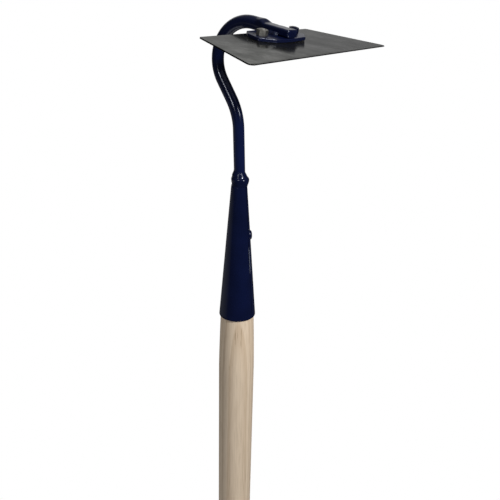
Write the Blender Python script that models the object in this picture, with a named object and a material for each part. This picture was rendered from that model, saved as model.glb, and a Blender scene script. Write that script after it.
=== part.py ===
"""Swan neck hoe: an ash handle, a rolled steel socket, a bent rod neck and a bolted blade.

Metres, +Z up. The handle's axis is the Z axis and its butt end is at Z = 0. The hoe is
symmetric about the plane Y = 0 but for the nail, the socket's seam and the weld over it,
and +X points from the neck towards the cutting edge.
"""
import math

import bmesh
import bpy
from mathutils import Matrix, Vector

# Handle
HANDLE_LENGTH = 1.372
HANDLE_RADIUS = 0.018
HANDLE_SIDES = 48
BUTT_FLAT_RADIUS = 0.008
BUTT_ROUNDING = 0.012
SHOULDER_LENGTH = 0.063
SHOULDER_CURVE = 1.4
TANG_END_CHAMFER = 0.002

# Socket
SOCKET_LENGTH = 0.133
SOCKET_MOUTH_RADIUS = 0.0178
SOCKET_TOP_RADIUS = 0.0073
SOCKET_WALL = 0.0012
SOCKET_MOUTH_CHAMFER = 0.0004
SOCKET_SIDES = 56
SEAM_ANGLE = math.radians(3)
SEAM_GAP = 0.0005
SEAM_OPENING = 0.0017
SEAM_OPENING_FROM = 0.046
SEAM_OPENING_TO = 0.075

# Nail through the socket
RIVET_FROM_TANG_END = 0.0208
RIVET_ANGLE = math.radians(37)
RIVET_HEAD_RADIUS = 0.0045
RIVET_HEAD_RISE = 0.0017
RIVET_HEAD_SKIRT = 0.0015
RIVET_SHANK_RADIUS = 0.0018
RIVET_SHANK_LENGTH = 0.0085

# Neck, bent from round rod that is a little thicker over the arch
ROD_RADIUS = 0.0051
ARCH_ROD_RADIUS = 0.0053
ROD_SIDES = 24
ROD_IN_SOCKET = 0.020
ROD_ABOVE_TANG = 0.008
NECK_FORWARD = 0.0007
NECK_LEAN = math.radians(2.6)
NECK_FIRST_RUN = 0.0503
NECK_LOWER_BEND_RADIUS = 0.0500
NECK_SLANT = math.radians(33.5)
NECK_SLANT_RUN = 0.0180
NECK_ARCH_RADIUS = 0.0312

# Tongue, the rod's forged end
TONGUE_HALF_WIDTH = 0.0065
TONGUE_HEIGHT = 0.0061
TONGUE_CORNER_POWER = 5.0
TONGUE_END_CHAMFER = 0.0012
FORGING_START = -0.003
UNDERSIDE_FORGED_BY = 0.0042
TOP_FORGED_FROM = 0.0022
TOP_FORGED_BY = 0.0088
TONGUE_END = 0.0323

# Weld round the rod at the socket's top, taller and slimmer on one side
SOCKET_WELD_HEIGHT = 0.0129
SOCKET_WELD_HEIGHT_SWING = 0.0010
SOCKET_WELD_RADIUS = 0.0082
SOCKET_WELD_RADIUS_SWING = 0.0004
SOCKET_WELD_WIDEST_AT = 0.0057
SOCKET_WELD_WIDEST_SWING = 0.0006
SOCKET_WELD_FOOT_RADIUS = 0.0071
SOCKET_WELD_LIP = 0.0002
SOCKET_WELD_FALL = 1.4
SOCKET_WELD_TALL_SIDE = math.radians(217)
SOCKET_WELD_LUMPS = ((-60, 0.0112), (-34, 0.0112), (-30, 0.0053))
SOCKET_WELD_LUMP_RISE = 0.0004
SOCKET_WELD_LUMP_SIZE = 0.0018

# Blade
BLADE_REAR_WIDTH = 0.146
BLADE_EDGE_WIDTH = 0.202
BLADE_DEPTH = 0.0675
BLADE_THICKNESS = 0.0012
BLADE_TILT = math.radians(9.7)
BLADE_REAR_X = 0.0169
BLADE_REAR_ABOVE_SOCKET = 0.1314
BLADE_REAR_CORNER = 0.0015
BLADE_EDGE_CORNER = 0.0030
GROUND_EDGE_DEPTH = 0.0050
GROUND_EDGE_THICKNESS = 0.0008

# Mounting plate
PLATE_DEPTH = 0.0306
PLATE_WIDTH = 0.0650
PLATE_THICKNESS = 0.0025
PLATE_REAR_WIDTH = 0.0410
PLATE_SHOULDER_WIDTH = 0.0560
PLATE_SHOULDER_DEPTH = 0.0068
PLATE_FRONT_WIDTH = 0.0420
PLATE_FRONT_CUT_DEPTH = 0.0105
PLATE_SETBACK = 0.0028
PLATE_BOW = 0.0015
PLATE_BOW_RADIUS = 0.040
PLATE_CORNER = 0.0018
PLATE_EDGE_ROUNDING = 0.0006

# Bolts and nuts
BOLT_RADIUS = 0.0025
BOLT_SPREAD = 0.0222
BOLT_FROM_PLATE_REAR = 0.0159
BOLT_HEAD_RADIUS = 0.0055
BOLT_HEAD_HEIGHT = 0.0024
BOLT_HEAD_RIM = 0.0004
BOLT_END_PROUD = 0.0005
BOLT_END_CHAMFER = 0.0006
BOLT_SIDES = 24
NUT_ACROSS_FLATS = 0.0080
NUT_HEIGHT = 0.0044
NUT_CHAMFER = math.radians(30)
NUT_FACE_SHARE = 0.97
NUT_TURNS = {"near": math.radians(-23), "far": math.radians(8)}

# Weld beads beside the tongue
TONGUE_WELD_FROM = 0.0110
TONGUE_WELD_TO = 0.0226
TONGUE_WELD_LEG = 0.0030
TONGUE_WELD_TAPER = 0.0018
TONGUE_WELD_TAPERED_TO = 0.45
TONGUE_WELD_FULLNESS = 0.62
TONGUE_WELD_RIPPLE = 0.0004
TONGUE_WELD_RIPPLES = 3

# Clearances
SEAT_GAP = 0.0003
HOLE_CLEARANCE = 0.0004
THREAD_CLEARANCE = 0.0003
CUT_MARGIN = 0.001

TANG_LENGTH = SOCKET_LENGTH - ROD_IN_SOCKET - ROD_ABOVE_TANG
RIVET_HEIGHT = TANG_LENGTH - RIVET_FROM_TANG_END
MOUTH_Z = HANDLE_LENGTH - TANG_LENGTH
SOCKET_TOP_Z = MOUTH_Z + SOCKET_LENGTH
SOCKET_SLOPE = (SOCKET_MOUTH_RADIUS - SOCKET_TOP_RADIUS) / SOCKET_LENGTH

# The blade's frame: origin in the middle of the upper face's rear edge,
# X along the blade to its cutting edge, Y across it and Z out of the upper face
BLADE_FRAME = (
    Matrix.Translation((BLADE_REAR_X, 0, SOCKET_TOP_Z + BLADE_REAR_ABOVE_SOCKET))
    @ Matrix.Rotation(BLADE_TILT, 4, "Y")
)
PLATE_UNDER = SEAT_GAP
PLATE_TOP = PLATE_UNDER + PLATE_THICKNESS
ON_PLATE = PLATE_TOP + SEAT_GAP
TONGUE_TOP = ON_PLATE + TONGUE_HEIGHT
BOLT_PLACE = PLATE_SETBACK + BOLT_FROM_PLATE_REAR
BOLTS = (("near", -BOLT_SPREAD), ("far", BOLT_SPREAD))


def clear_scene():
    for thing in list(bpy.data.objects):
        bpy.data.objects.remove(thing, do_unlink=True)


def material(name, color, roughness, metallic):
    made = bpy.data.materials.new(name)
    made.use_nodes = True
    shader = made.node_tree.nodes["Principled BSDF"]
    shader.inputs["Base Color"].default_value = (*color, 1.0)
    shader.inputs["Roughness"].default_value = roughness
    shader.inputs["Metallic"].default_value = metallic
    made.diffuse_color = (*color, 1.0)
    return made


def link(name, mesh, finish, smooth_angle=math.radians(35)):
    """Adds a named piece to the scene, smooth but for edges sharper than an angle."""
    mesh.materials.clear()
    mesh.materials.append(finish)
    mesh.shade_smooth()
    mesh.set_sharp_from_angle(angle=smooth_angle)
    thing = bpy.data.objects.new(name, mesh)
    bpy.context.scene.collection.objects.link(thing)
    return thing


def mesh_from(bm, name):
    bmesh.ops.recalc_face_normals(bm, faces=bm.faces)
    mesh = bpy.data.meshes.new(name)
    bm.to_mesh(mesh)
    bm.free()
    return mesh


def tool(name, bm):
    """A hidden body that only cuts, trims or adds to a piece."""
    thing = bpy.data.objects.new(name, mesh_from(bm, name))
    thing.hide_render = True
    thing.display_type = "WIRE"
    bpy.context.scene.collection.objects.link(thing)
    return thing


def combine(thing, other, operation="DIFFERENCE"):
    modifier = thing.modifiers.new(operation.lower(), "BOOLEAN")
    modifier.operation = operation
    modifier.object = other
    modifier.solver = "EXACT"


def skin(bm, sections):
    """Joins rings of points into one closed body, with a face over each end."""
    rings = [[bm.verts.new(point) for point in ring] for ring in sections]
    for low, high in zip(rings, rings[1:]):
        count = len(low)
        for i in range(count):
            j = (i + 1) % count
            bm.faces.new((low[i], low[j], high[j], high[i]))
    bm.faces.new(reversed(rings[0]))
    bm.faces.new(rings[-1])


def wrap(loops):
    """Joins closed loops of points, set all round an axis, into one ring-shaped body."""
    bm = bmesh.new()
    rings = [[bm.verts.new(point) for point in loop] for loop in loops]
    for ring, following in zip(rings, rings[1:] + rings[:1]):
        count = len(ring)
        for i in range(count):
            j = (i + 1) % count
            bm.faces.new((ring[i], ring[j], following[j], following[i]))
    return bm


def turned(profile, sides):
    """A solid of revolution about Z from (radius, height) points, lowest first."""
    bm = bmesh.new()
    turns = [2 * math.pi * i / sides for i in range(sides)]
    skin(bm, [[(r * math.cos(a), r * math.sin(a), z) for a in turns] for r, z in profile])
    return bm


def ease(low, high, value):
    """Runs smoothly from 0 at one value to 1 at another."""
    share = min(1.0, max(0.0, (value - low) / (high - low)))
    return share * share * (3 - 2 * share)


def blend(first, second, share):
    return first + (second - first) * share


def socket_radius(height):
    """The socket's outer radius at a height over its mouth."""
    return SOCKET_MOUTH_RADIUS - SOCKET_SLOPE * height


def tang_radius(height):
    return socket_radius(height) - SOCKET_WALL - SEAT_GAP


def rivet_frame():
    """A frame where the nail meets the socket's outside, its Z pointing out of the socket."""
    level = Matrix.Translation((0, 0, MOUTH_Z + RIVET_HEIGHT))
    turn = Matrix.Rotation(RIVET_ANGLE, 4, "Z")
    outside = Matrix.Translation((socket_radius(RIVET_HEIGHT), 0, 0))
    out = Matrix.Rotation(math.pi / 2 - math.atan(SOCKET_SLOPE), 4, "Y")
    return level @ turn @ outside @ out


def nail_hole(name, depth):
    """The hole for the nail's shank, from a depth under the socket's outside."""
    radius = RIVET_SHANK_RADIUS + SEAT_GAP
    bm = turned([(radius, -depth), (radius, 2 * RIVET_HEAD_RISE)], 16)
    bm.transform(rivet_frame())
    return tool(name, bm)


def handle(finish):
    """The shaft from its domed butt up over the shoulder to the end of the tang."""
    profile = []
    rounding_steps = 7
    for i in range(rounding_steps + 1):
        angle = 0.5 * math.pi * i / rounding_steps
        radius = blend(BUTT_FLAT_RADIUS, HANDLE_RADIUS, math.sin(angle))
        profile.append((radius, BUTT_ROUNDING * (1 - math.cos(angle))))
    shoulder_steps = 9
    for i in range(shoulder_steps + 1):
        share = i / shoulder_steps
        radius = blend(HANDLE_RADIUS, tang_radius(0), share ** SHOULDER_CURVE)
        profile.append((radius, MOUTH_Z - SHOULDER_LENGTH * (1 - share)))
    bevel_start = TANG_LENGTH - TANG_END_CHAMFER
    profile.append((tang_radius(bevel_start), MOUTH_Z + bevel_start))
    profile.append((tang_radius(bevel_start) - TANG_END_CHAMFER / 2, HANDLE_LENGTH))
    made = link("handle", mesh_from(turned(profile, HANDLE_SIDES), "handle"), finish)
    combine(made, nail_hole("handle_nail_hole", RIVET_SHANK_LENGTH + SEAT_GAP))
    return made


def seam_half_gap(height):
    """Half the width of the open seam at a height over the mouth."""
    middle = (SEAM_OPENING_FROM + SEAM_OPENING_TO) / 2
    reach = (SEAM_OPENING_TO - SEAM_OPENING_FROM) / 2
    bulge = max(0.0, 1 - ((height - middle) / reach) ** 2)
    return blend(SEAM_GAP, SEAM_OPENING, bulge) / 2


def socket(finish):
    """A cone of sheet steel, rolled round until its edges nearly meet close to the +X side."""
    opening_steps = 8
    span = SEAM_OPENING_TO - SEAM_OPENING_FROM
    heights = [0.0, SOCKET_MOUTH_CHAMFER, SEAM_OPENING_FROM / 2]
    heights += [SEAM_OPENING_FROM + span * i / opening_steps for i in range(opening_steps + 1)]
    heights += [(SEAM_OPENING_TO + SOCKET_LENGTH) / 2, SOCKET_LENGTH]
    bm = bmesh.new()
    rows = []
    for height in heights:
        outer = socket_radius(height)
        inner = outer - SOCKET_WALL
        if height == 0.0:
            outer -= SOCKET_MOUTH_CHAMFER
        half = seam_half_gap(height)
        row = []
        for radius in (outer, inner):
            start = math.asin(half / radius)
            line = []
            for i in range(SOCKET_SIDES + 1):
                angle = SEAM_ANGLE + blend(start, 2 * math.pi - start, i / SOCKET_SIDES)
                place = (radius * math.cos(angle), radius * math.sin(angle), MOUTH_Z + height)
                line.append(bm.verts.new(place))
            row.append(line)
        rows.append(row)
    for low, high in zip(rows, rows[1:]):
        for i in range(SOCKET_SIDES):
            bm.faces.new((low[0][i], low[0][i + 1], high[0][i + 1], high[0][i]))
            bm.faces.new((low[1][i + 1], low[1][i], high[1][i], high[1][i + 1]))
        for i in (0, SOCKET_SIDES):
            bm.faces.new((low[0][i], high[0][i], high[1][i], low[1][i]))
    for row in (rows[0], rows[-1]):
        for i in range(SOCKET_SIDES):
            bm.faces.new((row[0][i], row[1][i], row[1][i + 1], row[0][i + 1]))
    made = link("socket", mesh_from(bm, "socket"), finish)
    combine(made, nail_hole("socket_nail_hole", 2 * SOCKET_WALL))
    return made


def socket_rivet(finish):
    """The nail: a domed head shaped to the cone under it, and a short shank into the tang."""
    frame = rivet_frame()
    profile = [(RIVET_HEAD_RADIUS, -RIVET_HEAD_SKIRT)]
    dome_steps = 6
    for i in range(dome_steps):
        angle = 0.5 * math.pi * i / dome_steps
        profile.append((RIVET_HEAD_RADIUS * math.cos(angle), RIVET_HEAD_RISE * math.sin(angle)))
    head = turned(profile, 24)
    head.transform(frame)
    made = link("socket_rivet", mesh_from(head, "socket_rivet"), finish)
    seat = []
    for height in (RIVET_HEIGHT - 2 * RIVET_HEAD_RADIUS, RIVET_HEIGHT + 2 * RIVET_HEAD_RADIUS):
        seat.append((socket_radius(height) + SEAT_GAP, MOUTH_Z + height))
    combine(made, tool("rivet_seat", turned(seat, 96)))
    shank = turned(
        [(RIVET_SHANK_RADIUS, -RIVET_SHANK_LENGTH), (RIVET_SHANK_RADIUS, RIVET_HEAD_RISE / 2)],
        16,
    )
    shank.transform(frame)
    combine(made, tool("rivet_shank", shank), "UNION")
    return made


def heading(angle):
    """The direction in the plane Y = 0 at an angle over the X axis."""
    return Vector((math.cos(angle), 0, math.sin(angle)))


def neck_path():
    """The neck's centre line in the plane Y = 0, as (place, angle over the X axis) pairs.

    It leans back from the socket, slants back, arches over and ends along the blade.
    """
    angle = math.pi / 2 + NECK_LEAN
    place = Vector((NECK_FORWARD, 0, SOCKET_TOP_Z)) - ROD_IN_SOCKET * heading(angle)
    line = [(place.copy(), angle)]

    def straight(length):
        nonlocal place
        place = place + length * heading(angle)
        line.append((place.copy(), angle))

    def bend(radius, turn, steps):
        nonlocal place, angle
        inward = math.copysign(math.pi / 2, turn)
        centre = place + radius * heading(angle + inward)
        start = angle
        for i in range(1, steps + 1):
            angle = start + turn * i / steps
            place = centre - radius * heading(angle + inward)
            line.append((place.copy(), angle))

    straight(ROD_IN_SOCKET + NECK_FIRST_RUN)
    bend(NECK_LOWER_BEND_RADIUS, NECK_SLANT - NECK_LEAN, 8)
    straight(NECK_SLANT_RUN)
    bend(NECK_ARCH_RADIUS, -(NECK_SLANT + math.pi / 2 + BLADE_TILT), 24)
    return line


def squared(share, power):
    """A point of a rounded rectangle of half size 1, for a share of the way round."""
    c, s = math.cos(2 * math.pi * share), math.sin(2 * math.pi * share)
    return math.copysign(abs(c) ** (2 / power), c), math.copysign(abs(s) ** (2 / power), s)


def tongue_sections(axis_height):
    """Rings from the round rod to the end of the tongue, in world places."""
    rings = []
    steps = 9
    places = [blend(FORGING_START, TOP_FORGED_BY, i / steps) for i in range(steps + 1)]
    middle_of_flat = (TOP_FORGED_BY + TONGUE_END) / 2
    places += [middle_of_flat, TONGUE_END - TONGUE_END_CHAMFER, TONGUE_END]
    for along in places:
        under = ease(FORGING_START, UNDERSIDE_FORGED_BY, along)
        over = ease(TOP_FORGED_FROM, TOP_FORGED_BY, along)
        widened = ease(FORGING_START, TOP_FORGED_BY, along)
        low = blend(axis_height - ARCH_ROD_RADIUS, ON_PLATE, under)
        high = blend(axis_height + ARCH_ROD_RADIUS, TONGUE_TOP, over)
        half_width = blend(ARCH_ROD_RADIUS, TONGUE_HALF_WIDTH, widened)
        power = blend(2.0, TONGUE_CORNER_POWER, widened)
        if along == TONGUE_END:
            half_width -= TONGUE_END_CHAMFER
            high -= TONGUE_END_CHAMFER
            low += TONGUE_END_CHAMFER / 3
        ring = []
        for i in range(ROD_SIDES):
            across, up = squared(i / ROD_SIDES, power)
            height = (low + high) / 2 + up * (high - low) / 2
            ring.append(BLADE_FRAME @ Vector((along, across * half_width, height)))
        rings.append(ring)
    return rings


def neck(finish):
    """The bent rod and, at its front end, the tongue forged from it."""
    line = neck_path()
    first_bend = line[1][0].z
    slant_start = line[9][0].z
    rings = []
    for place, angle in line:
        radius = blend(ROD_RADIUS, ARCH_ROD_RADIUS, ease(first_bend, slant_start, place.z))
        ring = []
        for i in range(ROD_SIDES):
            turn = 2 * math.pi * i / ROD_SIDES
            out = math.cos(turn) * Vector((0, 1, 0)) + math.sin(turn) * heading(angle + math.pi / 2)
            ring.append(place + radius * out)
        rings.append(ring)
    end = BLADE_FRAME.inverted() @ line[-1][0]
    bm = bmesh.new()
    skin(bm, rings + tongue_sections(end.z))
    return link("neck", mesh_from(bm, "neck"), finish)


def socket_weld_radius(angle, share):
    """The bead's radius and height at an angle, for a share of the way up its outside."""
    side = math.cos(angle - SOCKET_WELD_TALL_SIDE)
    top = SOCKET_WELD_HEIGHT + SOCKET_WELD_HEIGHT_SWING * side
    widest_at = SOCKET_WELD_WIDEST_AT + SOCKET_WELD_WIDEST_SWING * side
    widest = SOCKET_WELD_RADIUS - SOCKET_WELD_RADIUS_SWING * side
    height = blend(SEAT_GAP, top, share)
    if height < widest_at:
        swell = math.sin(0.5 * math.pi * height / widest_at)
        radius = blend(SOCKET_WELD_FOOT_RADIUS, widest, swell)
    else:
        fall = max(0.0, math.cos(0.5 * math.pi * (height - widest_at) / (top - widest_at)))
        radius = blend(ROD_RADIUS + SEAT_GAP + SOCKET_WELD_LIP, widest, fall ** SOCKET_WELD_FALL)
    for degrees, lump_height in SOCKET_WELD_LUMPS:
        turn = math.remainder(angle - math.radians(degrees), 2 * math.pi)
        away = math.hypot(turn * radius, height - lump_height) / SOCKET_WELD_LUMP_SIZE
        radius += SOCKET_WELD_LUMP_RISE * math.exp(-away * away)
    return radius, height


def socket_weld(finish):
    """The bead round the rod where it leaves the socket, sheared to follow the rod's lean."""
    sides = 48
    levels = 10
    inner = ROD_RADIUS + SEAT_GAP
    loops = []
    for k in range(sides):
        angle = 2 * math.pi * k / sides
        section = [socket_weld_radius(angle, i / levels) for i in range(levels + 1)]
        section.append((inner, section[-1][1]))
        section.append((inner, SEAT_GAP))
        loop = []
        for radius, height in section:
            x = radius * math.cos(angle) + NECK_FORWARD - height * math.tan(NECK_LEAN)
            loop.append((x, radius * math.sin(angle), SOCKET_TOP_Z + height))
        loops.append(loop)
    bm = wrap(loops)
    return link("socket_weld", mesh_from(bm, "socket_weld"), finish)


def rounded_outline(corners, radii, steps=4):
    """A closed outline with each corner replaced by an arc that touches both its sides."""
    points = []
    count = len(corners)
    for i in range(count):
        here = Vector(corners[i])
        before = (Vector(corners[i - 1]) - here).normalized()
        after = (Vector(corners[(i + 1) % count]) - here).normalized()
        half = before.angle(after) / 2
        radius = radii[i]
        centre = here + (before + after).normalized() * radius / math.sin(half)
        start = here + before * radius / math.tan(half)
        end = here + after * radius / math.tan(half)
        first = start - centre
        sweep = first.angle_signed(end - centre)
        for k in range(steps + 1):
            turn = Matrix.Rotation(-sweep * k / steps, 2)
            points.append(centre + turn @ first)
    return points


def slab(outline, low, high):
    """An outline pulled up from one height to another, in the blade's frame."""
    bm = bmesh.new()
    skin(bm, [[(p.x, p.y, low) for p in outline], [(p.x, p.y, high) for p in outline]])
    return bm


def bolt_frame(across):
    """The frame of one bolt: its axis is Z, from the blade's upper face out."""
    return BLADE_FRAME @ Matrix.Translation((BOLT_PLACE, across, 0))


def drill(thing):
    """Cuts a hole square to the blade for each bolt."""
    radius = BOLT_RADIUS + HOLE_CLEARANCE
    reach = BLADE_THICKNESS + PLATE_THICKNESS + CUT_MARGIN
    for side, across in BOLTS:
        bm = turned([(radius, -reach), (radius, reach)], BOLT_SIDES)
        bm.transform(bolt_frame(across))
        combine(thing, tool(thing.name + "_hole_" + side, bm))


def blade(finish):
    """The flat trapezium, ground thinner on its underside along the cutting edge."""
    rear, edge = BLADE_REAR_WIDTH / 2, BLADE_EDGE_WIDTH / 2
    corners = [(0, -rear), (BLADE_DEPTH, -edge), (BLADE_DEPTH, edge), (0, rear)]
    radii = [BLADE_REAR_CORNER, BLADE_EDGE_CORNER, BLADE_EDGE_CORNER, BLADE_REAR_CORNER]
    bm = slab(rounded_outline(corners, radii), -BLADE_THICKNESS, 0)
    line = BLADE_DEPTH - GROUND_EDGE_DEPTH
    everything = bm.verts[:] + bm.edges[:] + bm.faces[:]
    bmesh.ops.bisect_plane(bm, geom=everything, plane_co=(line, 0, 0), plane_no=(1, 0, 0))
    loss = (BLADE_THICKNESS - GROUND_EDGE_THICKNESS) / GROUND_EDGE_DEPTH
    for vert in bm.verts:
        if vert.co.z < -BLADE_THICKNESS / 2 and vert.co.x > line:
            vert.co.z += (vert.co.x - line) * loss
    bm.transform(BLADE_FRAME)
    made = link("blade", mesh_from(bm, "blade"), finish)
    drill(made)
    return made


def mounting_plate(finish):
    """The plate between tongue and blade, with cut corners and a slightly bowed front."""
    rear, front = PLATE_SETBACK, PLATE_SETBACK + PLATE_DEPTH
    half = [
        (rear, PLATE_REAR_WIDTH / 2),
        (rear + PLATE_SHOULDER_DEPTH, PLATE_SHOULDER_WIDTH / 2),
        (front - PLATE_FRONT_CUT_DEPTH, PLATE_WIDTH / 2),
        (front - PLATE_BOW, PLATE_FRONT_WIDTH / 2),
    ]
    corners = [(x, -y) for x, y in half] + [(front, 0)] + half[::-1]
    radii = [PLATE_CORNER] * len(corners)
    radii[len(half)] = PLATE_BOW_RADIUS
    bm = slab(rounded_outline(corners, radii, 3), PLATE_UNDER, PLATE_TOP)
    middle = (PLATE_UNDER + PLATE_TOP) / 2
    top = [e for e in bm.edges if all(v.co.z > middle for v in e.verts)]
    bmesh.ops.bevel(bm, geom=top, offset=PLATE_EDGE_ROUNDING, segments=2, affect="EDGES")
    bm.transform(BLADE_FRAME)
    made = link("mounting_plate", mesh_from(bm, "mounting_plate"), finish)
    drill(made)
    return made


def blade_bolt(side, across, finish):
    """A bolt with a low domed head under the blade and a plain shank up through the nut."""
    under = -BLADE_THICKNESS - SEAT_GAP
    end = ON_PLATE + NUT_HEIGHT + BOLT_END_PROUD
    profile = []
    dome_steps = 5
    dome = BOLT_HEAD_HEIGHT - BOLT_HEAD_RIM
    for i in range(1, dome_steps + 1):
        angle = 0.5 * math.pi * i / dome_steps
        height = under - BOLT_HEAD_RIM - dome * math.cos(angle)
        profile.append((BOLT_HEAD_RADIUS * math.sin(angle), height))
    profile.append((BOLT_HEAD_RADIUS, under))
    profile.append((BOLT_RADIUS, under))
    profile.append((BOLT_RADIUS, end - BOLT_END_CHAMFER))
    profile.append((BOLT_RADIUS - BOLT_END_CHAMFER, end))
    bm = turned(profile, BOLT_SIDES)
    bm.transform(bolt_frame(across))
    name = "blade_bolt_" + side
    return link(name, mesh_from(bm, name), finish)


def blade_nut(side, across, finish):
    """A hexagon nut with a plain bore, its corners chamfered at both ends."""
    low, high = ON_PLATE, ON_PLATE + NUT_HEIGHT
    flat = NUT_ACROSS_FLATS / 2
    face = NUT_FACE_SHARE * flat
    bore = BOLT_RADIUS + THREAD_CLEARANCE
    sides = 48
    loops = []
    for k in range(sides):
        angle = 2 * math.pi * k / sides
        from_flat = math.remainder(angle - math.pi / 6, math.pi / 3)
        wall = flat / math.cos(from_flat)
        fall = (wall - face) * math.tan(NUT_CHAMFER)
        section = [(bore, low), (face, low), (wall, low + fall)]
        section += [(wall, high - fall), (face, high), (bore, high)]
        loops.append([(r * math.cos(angle), r * math.sin(angle), z) for r, z in section])
    bm = wrap(loops)
    bm.transform(bolt_frame(across) @ Matrix.Rotation(NUT_TURNS[side], 4, "Z"))
    name = "blade_nut_" + side
    return link(name, mesh_from(bm, name), finish, math.radians(25))


def tongue_weld(side, sign, finish):
    """A weld bead in the corner between the tongue and the plate."""
    wall = TONGUE_HALF_WIDTH + SEAT_GAP
    steps = 28
    rings = []
    for k in range(steps + 1):
        along = blend(TONGUE_WELD_FROM, TONGUE_WELD_TO, k / steps)
        from_end = min(along - TONGUE_WELD_FROM, TONGUE_WELD_TO - along)
        leg = TONGUE_WELD_LEG * blend(TONGUE_WELD_TAPERED_TO, 1, ease(0, TONGUE_WELD_TAPER, from_end))
        leg += TONGUE_WELD_RIPPLE * math.cos(2 * math.pi * TONGUE_WELD_RIPPLES * k / steps)
        bulge = TONGUE_WELD_FULLNESS * leg
        section = [(0, 0), (leg, 0), (bulge, bulge), (0, leg)]
        rings.append([(along, sign * (wall + out), ON_PLATE + up) for out, up in section])
    bm = bmesh.new()
    skin(bm, rings)
    bm.transform(BLADE_FRAME)
    name = "tongue_weld_" + side
    return link(name, mesh_from(bm, name), finish)


def build():
    clear_scene()
    ash = material("ash", (0.62, 0.50, 0.37), 0.60, 0.0)
    enamel = material("blue_enamel", (0.010, 0.014, 0.075), 0.22, 0.0)
    weld_enamel = material("weld_enamel", (0.012, 0.016, 0.080), 0.20, 0.0)
    steel = material("blade_steel", (0.36, 0.36, 0.35), 0.35, 1.0)
    zinc = material("bolt_steel", (0.45, 0.43, 0.38), 0.35, 1.0)
    nail = material("nail_enamel", (0.010, 0.014, 0.070), 0.25, 0.0)
    handle(ash)
    socket(enamel)
    socket_rivet(nail)
    neck(enamel)
    socket_weld(weld_enamel)
    mounting_plate(enamel)
    blade(steel)
    for side, across in BOLTS:
        blade_bolt(side, across, zinc)
        blade_nut(side, across, zinc)
        tongue_weld(side, math.copysign(1, across), weld_enamel)


build()
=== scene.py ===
"""Looks of a swan neck hoe: an ash handle, enamelled socket, neck and plate, and a steel blade.

Metres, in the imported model's frame: the handle's axis is Z, its butt end is at Z = 0, and +X
points from the neck towards the blade's cutting edge.
"""

import math

import bmesh
import bpy
from mathutils import Matrix, Vector, noise


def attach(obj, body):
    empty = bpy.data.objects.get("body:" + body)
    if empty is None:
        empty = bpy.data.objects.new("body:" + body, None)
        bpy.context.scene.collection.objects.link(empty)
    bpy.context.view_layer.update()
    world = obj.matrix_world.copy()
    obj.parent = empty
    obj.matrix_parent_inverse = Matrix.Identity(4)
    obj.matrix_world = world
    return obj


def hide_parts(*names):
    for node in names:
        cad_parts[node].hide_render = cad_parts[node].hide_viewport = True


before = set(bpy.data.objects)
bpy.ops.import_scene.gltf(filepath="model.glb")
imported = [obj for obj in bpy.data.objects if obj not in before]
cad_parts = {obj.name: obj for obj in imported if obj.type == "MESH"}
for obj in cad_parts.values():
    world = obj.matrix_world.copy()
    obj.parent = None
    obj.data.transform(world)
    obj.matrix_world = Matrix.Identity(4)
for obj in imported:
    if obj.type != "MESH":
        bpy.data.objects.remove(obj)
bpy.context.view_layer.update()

# The handle's sizes, which like those of the other pieces are the solids' own
HANDLE_LENGTH = 1.372
HANDLE_RADIUS = 0.018
BUTT_FLAT_RADIUS = 0.008
BUTT_ROUNDING = 0.012
SHOULDER_LENGTH = 0.063
SHOULDER_CURVE = 1.4
TANG_END_CHAMFER = 0.002

# Socket and its seam
SOCKET_LENGTH = 0.133
SOCKET_MOUTH_RADIUS = 0.0178
SOCKET_TOP_RADIUS = 0.0073
SOCKET_WALL = 0.0012
SEAM_ANGLE = math.radians(3)
SEAM_GAP = 0.0005
SEAM_OPENING = 0.0017
SEAM_OPENING_FROM = 0.046
SEAM_OPENING_TO = 0.075

# Nail
RIVET_FROM_TANG_END = 0.0208
RIVET_ANGLE = math.radians(37)
RIVET_HEAD_RADIUS = 0.0045
RIVET_HEAD_RISE = 0.0017

# Neck
ROD_RADIUS = 0.0051
ARCH_ROD_RADIUS = 0.0053
ROD_IN_SOCKET = 0.020
ROD_ABOVE_TANG = 0.008
NECK_FORWARD = 0.0007
NECK_LEAN = math.radians(2.6)
NECK_FIRST_RUN = 0.0503
NECK_LOWER_BEND_RADIUS = 0.0500
NECK_SLANT = math.radians(33.5)
NECK_SLANT_RUN = 0.0180
NECK_ARCH_RADIUS = 0.0312

# Tongue, with its places along the blade from the blade's rear edge
TONGUE_HALF_WIDTH = 0.0065
TONGUE_HEIGHT = 0.0061
FORGING_START = -0.003
UNDERSIDE_FORGED_BY = 0.0042
TOP_FORGED_FROM = 0.0022
TOP_FORGED_BY = 0.0088
TONGUE_END = 0.0323

# Weld round the neck, with its heights from the socket's top
SOCKET_WELD_HEIGHT = 0.0129
SOCKET_WELD_HEIGHT_SWING = 0.0010
SOCKET_WELD_RADIUS = 0.0082
SOCKET_WELD_RADIUS_SWING = 0.0004
SOCKET_WELD_WIDEST_AT = 0.0057
SOCKET_WELD_WIDEST_SWING = 0.0006
SOCKET_WELD_FOOT_RADIUS = 0.0071
SOCKET_WELD_FALL = 1.4
SOCKET_WELD_TALL_SIDE = math.radians(217)

# Blade
BLADE_REAR_WIDTH = 0.146
BLADE_EDGE_WIDTH = 0.202
BLADE_DEPTH = 0.0675
BLADE_THICKNESS = 0.0012
BLADE_TILT = math.radians(9.7)
BLADE_REAR_X = 0.0169
BLADE_REAR_ABOVE_SOCKET = 0.1314
BLADE_REAR_CORNER = 0.0015
BLADE_EDGE_CORNER = 0.0030
GROUND_EDGE_DEPTH = 0.0050
GROUND_EDGE_THICKNESS = 0.0008

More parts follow.
